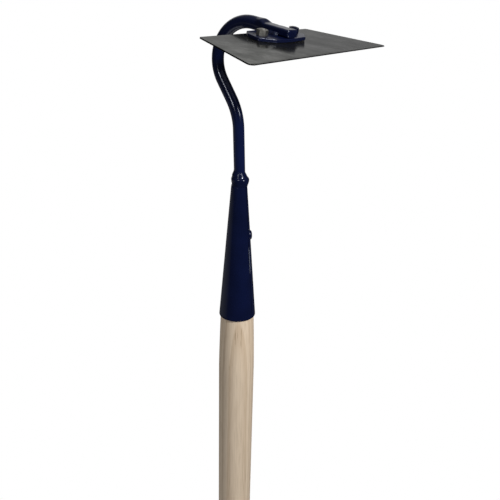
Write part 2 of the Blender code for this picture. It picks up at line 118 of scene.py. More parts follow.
# Mounting plate
PLATE_DEPTH = 0.0306
PLATE_WIDTH = 0.0650
PLATE_THICKNESS = 0.0025
PLATE_REAR_WIDTH = 0.0410
PLATE_SHOULDER_WIDTH = 0.0560
PLATE_SHOULDER_DEPTH = 0.0068
PLATE_FRONT_WIDTH = 0.0420
PLATE_FRONT_CUT_DEPTH = 0.0105
PLATE_SETBACK = 0.0028
PLATE_BOW = 0.0015
PLATE_BOW_RADIUS = 0.040
PLATE_CORNER = 0.0018

# Bolts and nuts
BOLT_RADIUS = 0.0025
BOLT_SPREAD = 0.0222
BOLT_FROM_PLATE_REAR = 0.0159
BOLT_HEAD_RADIUS = 0.0055
BOLT_HEAD_HEIGHT = 0.0024
BOLT_END_PROUD = 0.0005
NUT_ACROSS_FLATS = 0.0080
NUT_HEIGHT = 0.0044
NUT_CHAMFER = math.radians(30)
NUT_TURNS = {"near": math.radians(-23), "far": math.radians(8)}

# Welds along the tongue
TONGUE_WELD_FROM = 0.0110
TONGUE_WELD_TO = 0.0226
TONGUE_WELD_LEG = 0.0030

# Gap between solids that touch in the real hoe
SEAT_GAP = 0.0003

# Where the pieces stand
TANG_LENGTH = SOCKET_LENGTH - ROD_IN_SOCKET - ROD_ABOVE_TANG
RIVET_HEIGHT = TANG_LENGTH - RIVET_FROM_TANG_END
MOUTH_Z = HANDLE_LENGTH - TANG_LENGTH
SOCKET_TOP_Z = MOUTH_Z + SOCKET_LENGTH
SOCKET_SLOPE = (SOCKET_MOUTH_RADIUS - SOCKET_TOP_RADIUS) / SOCKET_LENGTH
SEAM_OPENING_MIDDLE = (SEAM_OPENING_FROM + SEAM_OPENING_TO) / 2
PLATE_TOP = SEAT_GAP + PLATE_THICKNESS
ON_PLATE = PLATE_TOP + SEAT_GAP
TONGUE_TOP = ON_PLATE + TONGUE_HEIGHT
NUT_TOP = ON_PLATE + NUT_HEIGHT
BOLT_PLACE = PLATE_SETBACK + BOLT_FROM_PLATE_REAR

# Origin in the middle of the upper face's rear edge, X along the blade, Z out of its upper face
BLADE_FRAME = (
    Matrix.Translation((BLADE_REAR_X, 0, SOCKET_TOP_Z + BLADE_REAR_ABOVE_SOCKET))
    @ Matrix.Rotation(BLADE_TILT, 4, "Y")
)

# How far finely rounded forms stay inside the solids' coarser ones
PAINT_INSIDE = 0.00002

# Smaller gap that stays under the plate, the bolt heads and the nuts
HAIRLINE = 0.00005

# Edges sharper than this are rounded, by these widths
SHARP_FROM = math.radians(40)
SHEET_ROUNDING = 0.00035
BLADE_ROUNDING = 0.00022
PLATE_ROUNDING = 0.0006

# How finely the meshes are cut
HANDLE_SIDES = 96
BUTT_STEPS = 14
SHAFT_STEPS = 30
SHOULDER_STEPS = 24
SOCKET_SIDES = 120
SOCKET_LEVELS = 56
NAIL_SIDES = 48
NAIL_STEPS = 12
NECK_SIDES = 72
FIRST_RUN_STEPS = 14
LOWER_BEND_STEPS = 16
SLANT_STEPS = 4
ARCH_STEPS = 60
FORGED_STEPS = 26
TONGUE_STEPS = 16
WELD_SIDES = 144
WELD_LEVELS = 34
CORNER_STEPS = 6
BOLT_SIDES = 48
BOLT_HEAD_STEPS = 10
NUT_SIDES = 120
BEAD_STEPS = 110
BEAD_ARC_STEPS = 8

# Paint on the nail's head, which is dented and runs out to a skirt
NAIL_SKIRT = 0.0012
NAIL_SKIRT_SHARE = 0.98
NAIL_DOME_POWER = 0.8
NAIL_DENTS = 0.00012
NAIL_DENTS_SCALE = 420

# Tongue's section from round to squared, its hammer marks and its rounded tip
ROUND_POWER = 2.0
TONGUE_POWER = 5.6
HAMMER_DEPTH = 0.00016
HAMMER_SCALE = 230
TIP_START = 0.0012
TIP_ROUNDING = 0.0014
TIP_SHARES = ((0.0006, 0.10), (0.0002, 0.38), (0.0, 0.9))

# Lumps and groove of the weld round the neck, each lump at an angle in degrees and a height
WELD_FOOT = 0.0006
WELD_BORE_INSIDE_ROD = 0.0004
WELD_TOP_OVER_ROD = 0.0001
WELD_LUMPS = ((-62, 0.0117), (-35, 0.0116), (-29, 0.0054))
WELD_LUMP_RISE = 0.00045
WELD_LUMP_SIZE = 0.0012
WELD_GROOVE_HEIGHT = 0.0082
WELD_GROOVE_DEPTH = 0.0006
WELD_GROOVE_SIZE = 0.0012

# Bolt's rim and thread, nut's faces
BOLT_RIM = 0.0004
THREAD_PITCH = 0.0008
THREAD_TURNS = 3
THREAD_DEPTH = 0.0004
THREAD_END_CHAMFER = 0.0005
NUT_FACE_SHARE = 0.96
NUT_CORNER_SHARE = 1.143
NUT_BORE_GAP = 0.0001
NUT_BORE_CHAMFER = 0.0004

# Ripples of the beads along the tongue
BEAD_IN_TONGUE = 0.0002
BEAD_FOOT = 0.0005
BEAD_TAPER = 0.0018
BEAD_END_SHARE = 0.35
BEAD_RIPPLES = 3
BEAD_RIPPLE_DEPTH = 0.00032
BEAD_RIPPLE_EDGE = 0.12
BEAD_UNEVENNESS = 0.06
BEAD_UNEVENNESS_SCALE = 9
BEAD_POWER = 1.25
BEAD_BOW = 0.0007

# Colours
WOOD = ((0.59, 0.470, 0.345), (0.655, 0.545, 0.420))
WOOD_BANDS = (0.47, 0.352, 0.240)
WOOD_STREAKS = (0.42, 0.318, 0.220)
WOOD_PORES = (0.26, 0.18, 0.11)
# Painted shade: the dark colour of the wood inside the socket
PAINTED_SHADE_IN_SOCKET = (0.010, 0.012, 0.020)
PAINT = ((0.0018, 0.0038, 0.0205), (0.0026, 0.0052, 0.0290))
# Painted highlight on the socket seam's cut edge
PAINTED_SEAM_HIGHLIGHT = ((0.17, 0.20, 0.27), (0.30, 0.33, 0.42))
STEEL = ((0.25, 0.255, 0.245), (0.50, 0.50, 0.485))
STEEL_MOTTLE = (0.27, 0.27, 0.26)
STEEL_LINES = (0.24, 0.242, 0.233)
STEEL_SPECKS = (0.16, 0.158, 0.15)
STEEL_SHEARED = (0.05, 0.05, 0.048)
ZINC = ((0.34, 0.33, 0.29), (0.52, 0.51, 0.475))
WHITE = (1, 1, 1, 1)

# Growth rings of the ash, about a pith that lies outside the handle
RING_WIDTH = 0.0033
PITH = (-0.034, 0.046, 0.0)
GRAIN_DRIFT = 0.016

# Noise patterns by scale, detail and roughness, then for some by stretch and shift
DRIFT_NOISE = (22.0, 2.0, 0.5)
BROAD_NOISE = (30, 2, 0.5, (1, 1, 0.10))
FIBRE_NOISE = (900, 4, 0.6, (1, 1, 0.035))
PORE_NOISE = (1500, 2, 0.5, (1, 1, 0.018), (3, 1, 2))
PAINT_NOISE = (45, 3, 0.55)
PAINT_GLOSS_NOISE = (1100, 3, 0.6)
WAVE_NOISE = (55, 2, 0.5)
PEEL_NOISE = (620, 2, 0.5)
LUMP_NOISE = (260, 3, 0.5)
# Noise in the painted highlight on the socket's seam
SEAM_HIGHLIGHT_NOISE = (500, 3, 0.6)
CLOUD_NOISE = (60.0, 6.0, 0.65)
BRUSHED_NOISE = (700.0, 4.0, 0.6)
MOTTLE_NOISE = (210, 3, 0.6)
SPECK_NOISE = (600, 4, 0.7)
DENT_NOISE = (28, 2, 0.5)
ZINC_NOISE = (350, 4, 0.6)
ZINC_GLOSS_NOISE = (900, 3, 0.6)
ZINC_GRAIN_NOISE = (1300, 3, 0.6)

# Depths of the bumps
FIBRE_DEPTH = 0.0002
PORE_DEPTH = 0.00012
WAVE_DEPTH = 0.0012
PEEL_DEPTH = 0.0003
LUMP_DEPTH = 0.0010
STEEL_GRAIN_DEPTH = 0.0001
DENT_DEPTH = 0.0006
ZINC_GRAIN_DEPTH = 0.0001

# Roughness at a noise pattern's low and high values
WOOD_ROUGHNESS = (0.46, 0.62)
PAINT_ROUGHNESS = (0.14, 0.22)
STEEL_ROUGHNESS = (0.18, 0.11)
ZINC_ROUGHNESS = (0.36, 0.44)

# Heights between which the wood gets paler up towards the socket, and those over which painted
# shade darkens it inside the socket
PALER_TOWARDS_SOCKET = (MOUTH_Z - 0.075, MOUTH_Z - 0.030)
SHADED_WOOD = (MOUTH_Z + 0.003, MOUTH_Z + 0.005)

# Heights between which painted shade darkens the paint up the neck, and the share of its colour
# left there
PAINTED_SHADE_HEIGHTS = (SOCKET_TOP_Z + 0.060, SOCKET_TOP_Z + 0.085)
PAINTED_SHADE_SHARE = 0.6

# Length over which the lumps of the forged parts set in
LUMPS_FADE = 0.008

# Where the painted highlight on the seam's cut edge fades out, by how its face looks and by its
# distance across and upward
SEAM_HIGHLIGHT_FACING = (0.75, 0.95)
SEAM_HIGHLIGHT_ACROSS = (0.003, 0.0035)
SEAM_HIGHLIGHT_UPWARD = (0.011, 0.014)

# Camera of the photograph, its turn in degrees
CAMERA_LENS = 43.566
CAMERA_SENSOR = 36
CAMERA_PLACE = (0.31481, -0.42204, 1.56619)
CAMERA_TURN = (66.339, -1.269, 36.056)
CAMERA_NEAREST = 0.01

# Floor, which fades to white between two distances from the handle
FLOOR_RADIUS = 1.0
FLOOR_SIDES = 96
FLOOR_DROP = 0.0004
FLOOR_COLOUR = (0.86, 0.86, 0.86, 1)
FLOOR_FADE = (0.25, 0.85)

# Directions in the studio
UP = (0, 0, 1)
SOFT_LIGHT_SIDE = (-0.94, -0.34, 0)
WALL_SIDE = (-0.883, 0.469, 0)
WALL_RIGHT = (0.259, 0.966, 0)
LOW_BAND_SIDE = (-0.92, -0.39, 0)

# Lights of the studio, by how far a ray points their way or upward, and then their strengths
SOFT_LIGHT = (-0.4, 1.0, 0.01, 0.37)
WALL_SPREAD = (0.44, 0.86)
WALL_LEFT_END = (-0.10, 0.15)
WALL_FOOT = (-0.35, -0.05, 0.15, 1.0)
WALL_HORIZON = (0.0, 0.08, 1.0, 0.46)
WALL_TOP = (0.20, 0.30, 0.0, 0.26)
LOW_BAND = (0.60, 0.95, 0.0, 0.21)
LOW_BAND_FOOT = (-0.50, -0.42)
LOW_BAND_TOP = (-0.24, -0.16, 1.0, 0.0)
CEILING = (0.45, 0.90, 0.04, 0.20)

# Lamps, aimed at the hoe's head: azimuth and elevation in degrees, width and height, and power
LAMP_TARGET = (0, 0, 1.46)
LAMP_DISTANCE = 1.9
LAMPS = {
    "key": (-8, 34, (0.26, 0.26), 40),
    "fill": (-75, 19, (0.24, 0.42), 6.5),
    "kicker": (5, 18, (0.30, 0.34), 5.5),
}


def blend(first, second, share):
    """The value at a share of the way from the first to the second."""
    return first + (second - first) * share


def ease(low, high, value):
    """Rises smoothly from 0 at one value to 1 at another."""
    share = min(1.0, max(0.0, (value - low) / (high - low)))
    return share * share * (3 - 2 * share)


def heading(angle):
    """The direction in the plane Y = 0 at an angle over the X axis."""
    return Vector((math.cos(angle), 0, math.sin(angle)))


def skin(bm, sections):
    """Joins rings of points into one closed body, with a face over each end."""
    rings = [[bm.verts.new(point) for point in ring] for ring in sections]
    for low, high in zip(rings, rings[1:]):
        count = len(low)
        for i in range(count):
            j = (i + 1) % count
            bm.faces.new((low[i], low[j], high[j], high[i]))
    bm.faces.new(reversed(rings[0]))
    bm.faces.new(rings[-1])


def wrap(loops):
    """Joins closed loops of points, set all round an axis, into one ring-shaped body."""
    bm = bmesh.new()
    rings = [[bm.verts.new(point) for point in loop] for loop in loops]
    for ring, following in zip(rings, rings[1:] + rings[:1]):
        count = len(ring)
        for i in range(count):
            j = (i + 1) % count
            bm.faces.new((ring[i], ring[j], following[j], following[i]))
    return bm


def turned(profile, sides):
    """A solid of revolution about Z from (radius, height) points, lowest first."""
    bm = bmesh.new()
    turns = [2 * math.pi * i / sides for i in range(sides)]
    skin(bm, [[(r * math.cos(a), r * math.sin(a), z) for a in turns] for r, z in profile])
    return bm


def slab(outline, low, high):
    """A flat body between two heights."""
    bm = bmesh.new()
    skin(bm, [[(p.x, p.y, low) for p in outline], [(p.x, p.y, high) for p in outline]])
    return bm


def soften(bm, width, segments=2):
    """Rounds every sharp edge."""
    bmesh.ops.recalc_face_normals(bm, faces=bm.faces)
    edges = [e for e in bm.edges if len(e.link_faces) == 2]
    sharp = [e for e in edges if e.calc_face_angle(0) > SHARP_FROM]
    bmesh.ops.bevel(
        bm, geom=sharp, offset=width, segments=segments, affect="EDGES", profile=0.5
    )


def place(name, bm, finish, node, smooth_up_to=45):
    """Makes a piece of the object that stands for a node of the frame."""
    bmesh.ops.recalc_face_normals(bm, faces=bm.faces)
    mesh = bpy.data.meshes.new(name)
    bm.to_mesh(mesh)
    bm.free()
    mesh.materials.append(finish)
    mesh.shade_smooth()
    mesh.set_sharp_from_angle(angle=math.radians(smooth_up_to))
    piece = bpy.data.objects.new(name, mesh)
    bpy.context.scene.collection.objects.link(piece)
    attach(piece, "root")
    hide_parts(node)


class Nodes:
    """A node tree under construction, with short names for the nodes it is made of."""

    def __init__(self, tree):
        self.tree = tree

    def join(self, source, target):
        self.tree.links.new(source, target)

    def node(self, kind, inputs=None, **settings):
        """Adds a node, with a socket to join or a value to set for each input named."""
        made = self.tree.nodes.new("ShaderNode" + kind)
        for key, value in settings.items():
            setattr(made, key, value)
        for key, value in (inputs or {}).items():
            if isinstance(value, bpy.types.NodeSocket):
                self.join(value, made.inputs[key])
            else:
                made.inputs[key].default_value = value
        return made

    def spread(self, value, low, high, to_low=0.0, to_high=1.0, kind="LINEAR"):
        """Maps one range to another, and stays at its ends beyond them."""
        inputs = {
            "Value": value,
            "From Min": low,
            "From Max": high,
            "To Min": to_low,
            "To Max": to_high,
        }
        return self.node("MapRange", inputs, interpolation_type=kind).outputs["Result"]

    def eased(self, value, low, high, to_low=0.0, to_high=1.0):
        return self.spread(value, low, high, to_low, to_high, "SMOOTHSTEP")

    def math(self, operation, first, second=0.0):
        made = self.node("Math", {0: first, 1: second}, operation=operation)
        return made.outputs["Value"]

    def product(self, first, *others):
        for other in others:
            first = self.math("MULTIPLY", first, other)
        return first

    def vector(self, operation, first, second):
        made = self.node("VectorMath", {0: first, 1: second}, operation=operation)
        return made.outputs["Vector"]

    def dot(self, first, second):
        made = self.node("VectorMath", {0: first, 1: second}, operation="DOT_PRODUCT")
        return made.outputs["Value"]

    def length(self, vector):
        return self.node("VectorMath", {0: vector}, operation="LENGTH").outputs["Value"]

    def scaled(self, vector, factor):
        made = self.node("VectorMath", {0: vector, "Scale": factor}, operation="SCALE")
        return made.outputs["Vector"]

    def mix_shaders(self, share, first, second):
        return self.node("MixShader", {0: share, 1: first, 2: second}).outputs[0]


class Finish(Nodes):
    """A surface material under construction."""

    def __init__(self, name, **settings):
        self.material = bpy.data.materials.new(name)
        self.material.use_nodes = True
        super().__init__(self.material.node_tree)
        self.shader = self.tree.nodes["Principled BSDF"]
        for key, value in settings.items():
            self.shader.inputs[key.replace("_", " ")].default_value = value
        spots = self.node("TexCoord").outputs
        self.where = spots["Object"]
        self.normal = spots["Normal"]

    def along(self, axis):
        return self.node("SeparateXYZ", {"Vector": self.where}).outputs[axis]

    def mapped(self, vector, **inputs):
        return self.node("Mapping", {"Vector": vector, **inputs}).outputs["Vector"]

    def texture(self, vector, scale, detail, rough):
        inputs = {"Vector": vector, "Scale": scale, "Detail": detail, "Roughness": rough}
        return self.node("TexNoise", inputs).outputs

    def noise(self, scale, detail, rough, stretch=(1, 1, 1), shift=(0, 0, 0)):
        vector = self.mapped(self.where, Scale=stretch, Location=shift)
        return self.texture(vector, scale, detail, rough)["Fac"]

    def mix(self, share, first, second):
        """Blends two colours, each one a socket or three numbers."""
        made = self.node("Mix", {0: share}, data_type="RGBA")
        for key, value in ((6, first), (7, second)):
            if isinstance(value, bpy.types.NodeSocket):
                self.join(value, made.inputs[key])
            else:
                made.inputs[key].default_value = (*value, 1.0)
        return made.outputs[2]

    def color(self, source):
        self.join(source, self.shader.inputs["Base Color"])

    def roughness(self, source):
        self.join(source, self.shader.inputs["Roughness"])

    def bump(self, layers):
        """Stacks (height, strength, distance) layers into the shader's normal."""
        last = None
        for height, strength, distance in layers:
            inputs = {"Height": height, "Strength": strength, "Distance": distance}
            if last is not None:
                inputs["Normal"] = last
            last = self.node("Bump", inputs).outputs["Normal"]
        self.join(last, self.shader.inputs["Normal"])


def ash_wood():
    """Straight grained ash: pale wood, porous bands along the grain and fine dark pores."""
    f = Finish("ash", Specular_IOR_Level=0.32)
    drift = f.texture(f.mapped(f.where, Scale=(1, 1, 0.03)), *DRIFT_NOISE)["Color"]
    drift = f.scaled(f.vector("ADD", drift, (-0.5, -0.5, -0.5)), GRAIN_DRIFT)
    flat = f.vector("MULTIPLY", f.vector("ADD", f.where, drift), (1, 1, 0.0))
    from_pith = f.length(f.vector("SUBTRACT", flat, PITH))
    ring = f.math("FRACT", f.math("MULTIPLY", from_pith, 1 / RING_WIDTH))
    porous = f.product(f.eased(ring, 0.0, 0.12), f.eased(ring, 0.12, 0.62, 1, 0))
    broad = f.noise(*BROAD_NOISE)
    fibre = f.noise(*FIBRE_NOISE)
    pores = f.noise(*PORE_NOISE)
    pale = f.mix(f.spread(broad, 0.3, 0.7), *WOOD)
    banded = f.mix(f.math("MULTIPLY", porous, 0.62), pale, WOOD_BANDS)
    streaked = f.mix(f.spread(fibre, 0.42, 0.75, 0, 0.50), banded, WOOD_STREAKS)
    pore_mask = f.product(f.spread(pores, 0.60, 0.72), f.spread(porous, 0.0, 1.0, 0.25, 0.85))
    shaded = f.mix(pore_mask, streaked, WOOD_PORES)
    height = f.along("Z")
    # The wood gets paler up towards the socket's mouth
    paler_towards_socket = f.spread(height, *PALER_TOWARDS_SOCKET, 1.0, 1.06)
    # Painted shade: the wood inside the socket, seen through the seam's opening, is darkened
    painted_shade_in_socket = f.spread(height, *SHADED_WOOD)
    f.color(f.mix(painted_shade_in_socket, f.scaled(shaded, paler_towards_socket), PAINTED_SHADE_IN_SOCKET))
    f.roughness(f.spread(fibre, 0.3, 0.7, *WOOD_ROUGHNESS))
    unbroken = f.math("SUBTRACT", 1.0, pore_mask)
    f.bump([(fibre, 0.10, FIBRE_DEPTH), (unbroken, 0.25, PORE_DEPTH)])
    return f.material


def enamelled(
    name, wave=0.10, peel=0.04, lumps=0.0, lumps_from=-1.0, rough=PAINT_ROUGHNESS, pale=1.0
):
    """A finish of thick dark blue gloss paint, still without its colour, and that colour.

    It has a slight ripple, is lumpy in front of a place along X, and darkens up the neck by
    painted shade.
    """
    f = Finish(name, Specular_IOR_Level=0.45, Specular_Tint=(0.82, 0.87, 1.0, 1.0))
    paint = f.mix(f.spread(f.noise(*PAINT_NOISE), 0.3, 0.7), *PAINT)
    # Painted shade: the colour darkens above the neck's lower bend, over the arch, tongue and
    # plate
    painted_shade = f.spread(f.along("Z"), *PAINTED_SHADE_HEIGHTS, pale, PAINTED_SHADE_SHARE * pale)
    f.roughness(f.spread(f.noise(*PAINT_GLOSS_NOISE), 0.3, 0.7, *rough))
    layers = [(f.noise(*WAVE_NOISE), wave, WAVE_DEPTH), (f.noise(*PEEL_NOISE), peel, PEEL_DEPTH)]
    if lumps:
        forged = f.spread(f.along("X"), lumps_from, lumps_from + LUMPS_FADE)
        layers.append((f.product(f.noise(*LUMP_NOISE), forged), lumps, LUMP_DEPTH))
    f.bump(layers)
    return f, f.scaled(paint, painted_shade)


def navy_enamel(name, **settings):
    """The dark blue gloss paint as it is."""
    f, paint = enamelled(name, **settings)
    f.color(paint)
    return f.material


def rolled_enamel():
    """The socket's enamel, with a painted highlight on the cut edge of the sheet where the seam is
    wider.
    """
    f, paint = enamelled("rolled_enamel")
    cut = (math.sin(SEAM_ANGLE), -math.cos(SEAM_ANGLE), 0)
    facing = f.spread(f.dot(f.normal, cut), *SEAM_HIGHLIGHT_FACING)
    in_seam = f.spread(f.math("ABSOLUTE", f.along("Y")), *SEAM_HIGHLIGHT_ACROSS, 1, 0)
    from_opening = f.math("SUBTRACT", f.along("Z"), MOUTH_Z + SEAM_OPENING_MIDDLE)
    at_opening = f.spread(f.math("ABSOLUTE", from_opening), *SEAM_HIGHLIGHT_UPWARD, 1, 0)
    # Painted highlight: pale blue-grey on the sheet's cut edge at the seam's opening
    seam_highlight_mask = f.product(in_seam, at_opening, facing)
    hammer_wear_and_seam_highlight = f.mix(f.noise(*SEAM_HIGHLIGHT_NOISE), *PAINTED_SEAM_HIGHLIGHT)
    f.color(f.mix(seam_highlight_mask, paint, hammer_wear_and_seam_highlight))
    return f.material


def blade_steel():
    """Grey rolled steel with a cloudy, lightly brushed face and dark sheared edges."""
    f = Finish("blade_steel", Metallic=0.97, Specular_Tint=(0.38, 0.38, 0.38, 1.0))
    flat = f.mapped(f.where, Rotation=(0, -BLADE_TILT, 0))
    cloud = f.texture(flat, *CLOUD_NOISE)["Fac"]
    lines = f.texture(f.mapped(flat, Scale=(1, 0.03, 1)), *BRUSHED_NOISE)["Fac"]
    mottle = f.noise(*MOTTLE_NOISE)
    speck = f.noise(*SPECK_NOISE)
    dents = f.noise(*DENT_NOISE)
    clouded = f.mix(f.spread(cloud, 0.34, 0.66), *STEEL)
    mottled = f.mix(f.spread(mottle, 0.35, 0.65, 0, 0.45), clouded, STEEL_MOTTLE)
    lined = f.mix(f.spread(lines, 0.38, 0.70, 0, 0.25), mottled, STEEL_LINES)
    specked = f.mix(f.spread(speck, 0.58, 0.72, 0, 0.6), lined, STEEL_SPECKS)
    level = f.dot(f.normal, tuple(BLADE_FRAME.to_3x3().col[2]))
    side = f.spread(f.math("ABSOLUTE", level), 0.6, 0.9, 1, 0)
    f.color(f.mix(side, specked, STEEL_SHEARED))
    f.roughness(f.spread(cloud, 0.3, 0.7, *STEEL_ROUGHNESS))
    grain = [(lines, 0.05, STEEL_GRAIN_DEPTH), (speck, 0.08, STEEL_GRAIN_DEPTH)]
    f.bump(grain + [(dents, 0.08, DENT_DEPTH)])
    return f.material


def zinc_plate():
    """Dull zinc on the near bolt and nut, yellowed and a little stained."""
    f = Finish("bolt_steel", Metallic=1.0, Specular_Tint=(0.8, 0.8, 0.8, 1.0))
    f.color(f.mix(f.spread(f.noise(*ZINC_NOISE), 0.35, 0.65), *ZINC))
    f.roughness(f.spread(f.noise(*ZINC_GLOSS_NOISE), 0.3, 0.7, *ZINC_ROUGHNESS))
    f.bump([(f.noise(*ZINC_GRAIN_NOISE), 0.12, ZINC_GRAIN_DEPTH)])
    return f.material


ash = ash_wood()
enamel = navy_enamel("blue_enamel")
rolled = rolled_enamel()
neck_enamel = navy_enamel(
    "neck_enamel", wave=0.06, peel=0.02, lumps=0.25, lumps_from=0.014, rough=(0.15, 0.21), pale=1.4
)
plate_enamel = navy_enamel(
    "plate_enamel", wave=0.12, peel=0.10, lumps=0.20, rough=(0.24, 0.34), pale=1.4
)
weld_enamel = navy_enamel("weld_enamel", wave=0.05, peel=0.03)
nail_enamel = navy_enamel("nail_enamel", wave=0.2, peel=0.15, lumps=0.2)
steel = blade_steel()
zinc = zinc_plate()


def socket_radius(height):
    """The socket's outside at a height over its mouth."""
    return SOCKET_MOUTH_RADIUS - SOCKET_SLOPE * height


def tang_radius(height):
    """The handle's tang at a height over the socket's mouth."""
    return socket_radius(height) - SOCKET_WALL - SEAT_GAP


def handle():
    """The shaft, from its domed butt over the shoulder to the tang in the socket."""
    profile = []
    for i in range(BUTT_STEPS + 1):
        angle = 0.5 * math.pi * i / BUTT_STEPS
        radius = blend(BUTT_FLAT_RADIUS, HANDLE_RADIUS, math.sin(angle))
        profile.append((radius, BUTT_ROUNDING * (1 - math.cos(angle))))
    body_end = MOUTH_Z - SHOULDER_LENGTH
    for i in range(1, SHAFT_STEPS):
        profile.append((HANDLE_RADIUS, blend(BUTT_ROUNDING, body_end, i / SHAFT_STEPS)))
    for i in range(SHOULDER_STEPS + 1):
        share = i / SHOULDER_STEPS
        radius = blend(HANDLE_RADIUS, tang_radius(0), share ** SHOULDER_CURVE)
        profile.append((radius, MOUTH_Z - SHOULDER_LENGTH * (1 - share)))
    bevel_start = TANG_LENGTH - TANG_END_CHAMFER
    profile.append((tang_radius(bevel_start), MOUTH_Z + bevel_start))
    profile.append((tang_radius(bevel_start) - TANG_END_CHAMFER / 2, HANDLE_LENGTH))
    place("ash_shaft", turned(profile, HANDLE_SIDES), ash, "handle")


def seam_half_gap(height):
    """Half the width of the socket's seam, which bulges open over one stretch."""
    reach = (SEAM_OPENING_TO - SEAM_OPENING_FROM) / 2
    bulge = max(0.0, 1 - ((height - SEAM_OPENING_MIDDLE) / reach) ** 2)
    return blend(SEAM_GAP, SEAM_OPENING, bulge) / 2


def socket_line(radius, height):
    """Points round the socket at one radius, from one side of the seam to the other."""
    start = math.asin(seam_half_gap(height) / radius)
    line = []
    for i in range(SOCKET_SIDES + 1):
        angle = SEAM_ANGLE + blend(start, 2 * math.pi - start, i / SOCKET_SIDES)
        line.append((radius * math.cos(angle), radius * math.sin(angle), MOUTH_Z + height))
    return line


def socket():
    """The rolled cone, its sheet edges rounded by the paint and its seam open on the +X side."""
    bm = bmesh.new()
    rows = []
    for k in range(SOCKET_LEVELS + 1):
        height = SOCKET_LENGTH * k / SOCKET_LEVELS
        outside = socket_radius(height)
        lines = [socket_line(radius, height) for radius in (outside, outside - SOCKET_WALL)]
        rows.append([[bm.verts.new(spot) for spot in line] for line in lines])
    for low, high in zip(rows, rows[1:]):
        for i in range(SOCKET_SIDES):
            bm.faces.new((low[0][i], low[0][i + 1], high[0][i + 1], high[0][i]))
            bm.faces.new((low[1][i + 1], low[1][i], high[1][i], high[1][i + 1]))
        for i in (0, SOCKET_SIDES):
            bm.faces.new((low[0][i], high[0][i], high[1][i], low[1][i]))
    for row in (rows[0], rows[-1]):
        for i in range(SOCKET_SIDES):
            bm.faces.new((row[0][i], row[1][i], row[1][i + 1], row[0][i + 1]))
    soften(bm, SHEET_ROUNDING)
    place("rolled_socket", bm, rolled, "socket")


def socket_rivet():
    """The nail's head, domed, with its paint run into the corner round it."""
    level = Matrix.Translation((0, 0, MOUTH_Z + RIVET_HEIGHT))
    turn = Matrix.Rotation(RIVET_ANGLE, 4, "Z")
    outside = Matrix.Translation((socket_radius(RIVET_HEIGHT), 0, 0))
    out = Matrix.Rotation(math.pi / 2 - math.atan(SOCKET_SLOPE), 4, "Y")
    profile = [(RIVET_HEAD_RADIUS * NAIL_SKIRT_SHARE, -NAIL_SKIRT)]
    for i in range(NAIL_STEPS):
        angle = 0.5 * math.pi * i / NAIL_STEPS
        radius = RIVET_HEAD_RADIUS * math.cos(angle) ** NAIL_DOME_POWER
        profile.append((radius, RIVET_HEAD_RISE * math.sin(angle)))
    bm = turned(profile, NAIL_SIDES)
    for vert in bm.verts:
        if vert.co.z > 0:
            vert.co.z += NAIL_DENTS * noise.noise(vert.co * NAIL_DENTS_SCALE)
    bm.transform(level @ turn @ outside @ out)
    place("nail_head", bm, nail_enamel, "socket_rivet")


def neck_path():
    """The neck's centre line in the plane Y = 0, as (place, angle over the X axis) pairs."""
    angle = math.pi / 2 + NECK_LEAN
    spot = Vector((NECK_FORWARD, 0, SOCKET_TOP_Z)) - ROD_IN_SOCKET * heading(angle)
    line = [(spot.copy(), angle)]

    def straight(length, steps):
        nonlocal spot
        for _ in range(steps):
            spot = spot + length / steps * heading(angle)
            line.append((spot.copy(), angle))

    def bend(radius, turn, steps):
        nonlocal spot, angle
        inward = math.copysign(math.pi / 2, turn)
        centre = spot + radius * heading(angle + inward)
        start = angle
        for i in range(1, steps + 1):
            angle = start + turn * i / steps
            spot = centre - radius * heading(angle + inward)
            line.append((spot.copy(), angle))

    straight(ROD_IN_SOCKET + NECK_FIRST_RUN, FIRST_RUN_STEPS)
    bend(NECK_LOWER_BEND_RADIUS, NECK_SLANT - NECK_LEAN, LOWER_BEND_STEPS)
    straight(NECK_SLANT_RUN, SLANT_STEPS)
    bend(NECK_ARCH_RADIUS, -(NECK_SLANT + math.pi / 2 + BLADE_TILT), ARCH_STEPS)
    return line


def rod_rings(line):
    """Rings round the neck's centre line, a little wider above the lower bend."""
    bend_start = line[FIRST_RUN_STEPS][0].z
    bend_end = line[FIRST_RUN_STEPS + LOWER_BEND_STEPS][0].z
    rings = []
    for spot, angle in line:
        radius = blend(ROD_RADIUS, ARCH_ROD_RADIUS, ease(bend_start, bend_end, spot.z))
        radius -= PAINT_INSIDE
        ring = []
        for i in range(NECK_SIDES):
            turn = 2 * math.pi * i / NECK_SIDES
            upward = math.sin(turn) * heading(angle + math.pi / 2)
            ring.append(spot + radius * (math.cos(turn) * Vector((0, 1, 0)) + upward))
        rings.append(ring)
    return rings


def squared(share, power):
    """A point on a rounded square that reaches from -1 to 1 both ways, round at power 2."""
    c, s = math.cos(2 * math.pi * share), math.sin(2 * math.pi * share)
    return math.copysign(abs(c) ** (2 / power), c), math.copysign(abs(s) ** (2 / power), s)


def tongue_places():
    """Places along the tongue, each one with its share of the tip's rounding."""
    plain_end = TONGUE_END - TIP_START
    places = [blend(FORGING_START, TOP_FORGED_BY, i / FORGED_STEPS) for i in range(FORGED_STEPS)]
    places += [blend(TOP_FORGED_BY, plain_end, i / TONGUE_STEPS) for i in range(TONGUE_STEPS + 1)]
    tip = [(TONGUE_END - before, rounded) for before, rounded in TIP_SHARES]
    return [(along, 0.0) for along in places] + tip


